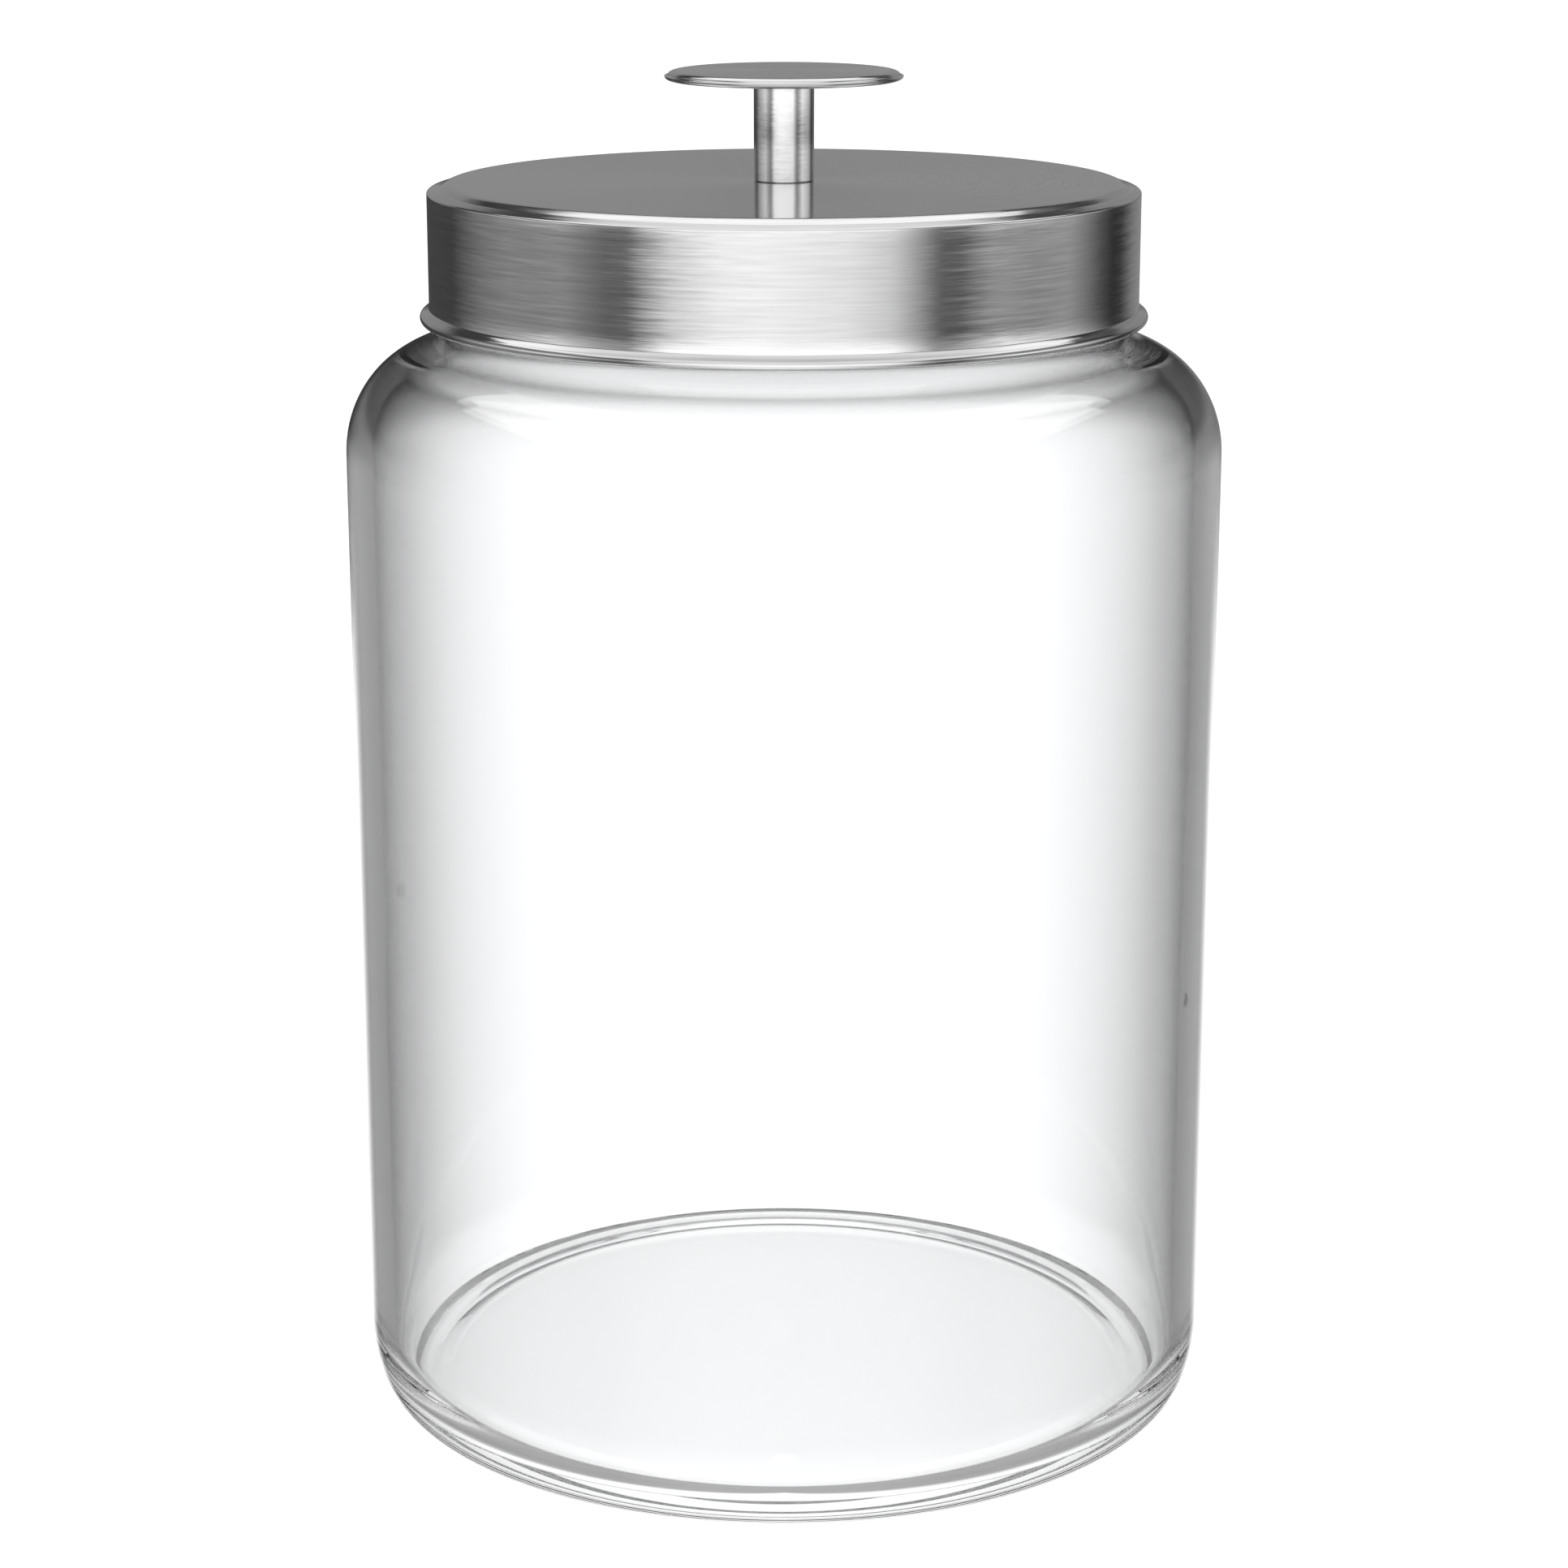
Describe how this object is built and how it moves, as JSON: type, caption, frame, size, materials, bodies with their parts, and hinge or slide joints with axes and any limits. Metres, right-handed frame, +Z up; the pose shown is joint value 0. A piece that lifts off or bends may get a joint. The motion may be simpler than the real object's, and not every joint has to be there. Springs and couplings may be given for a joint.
{
  "type": "coin bank jar",
  "caption": "Wide clear glass jar for coins or dry goods, with a lift-off brushed steel lid, T-shaped knob, inner plug and soft seal.",
  "frame": {"origin": "centre of the jar's foot, on the surface it stands on", "axes": "+Z up along the jar's own axis; the jar is turned, so X and Y are free"},
  "size_m": [0.22, 0.22, 0.3413],
  "materials": {
    "clear_glass": "clear, fire-polished",
    "lid_steel": "brushed around the axis",
    "knob_steel": "brushed around the axis, finer than the lid",
    "liner_plastic": "moulded, natural white",
    "seal_silicone": "soft, milky",
    "insert_brass": "turned",
    "fastener_steel": "zinc plated"
  },
  "bodies": {
    "jar": {"glass_jar": "clear_glass"},
    "seal": {"seal_ring": "seal_silicone"},
    "lid": {"lid_shell": "lid_steel", "lid_liner": "liner_plastic", "knob_stem": "knob_steel", "knob_disc": "knob_steel", "knob_insert": "insert_brass", "knob_screw": "fastener_steel", "flat_washer": "fastener_steel", "lock_washer": "fastener_steel"}
  },
  "joints": [
    {"name": "lid_lift", "type": "slide", "parent": "jar", "child": "seal", "axis": [0, 0, 1], "range_m": [0, 0.15]},
    {"name": "lid_turn", "type": "hinge", "parent": "seal", "child": "lid", "pos_m": [0, 0, 0.3103], "axis": [0, 0, 1], "continuous": true}
  ]
}
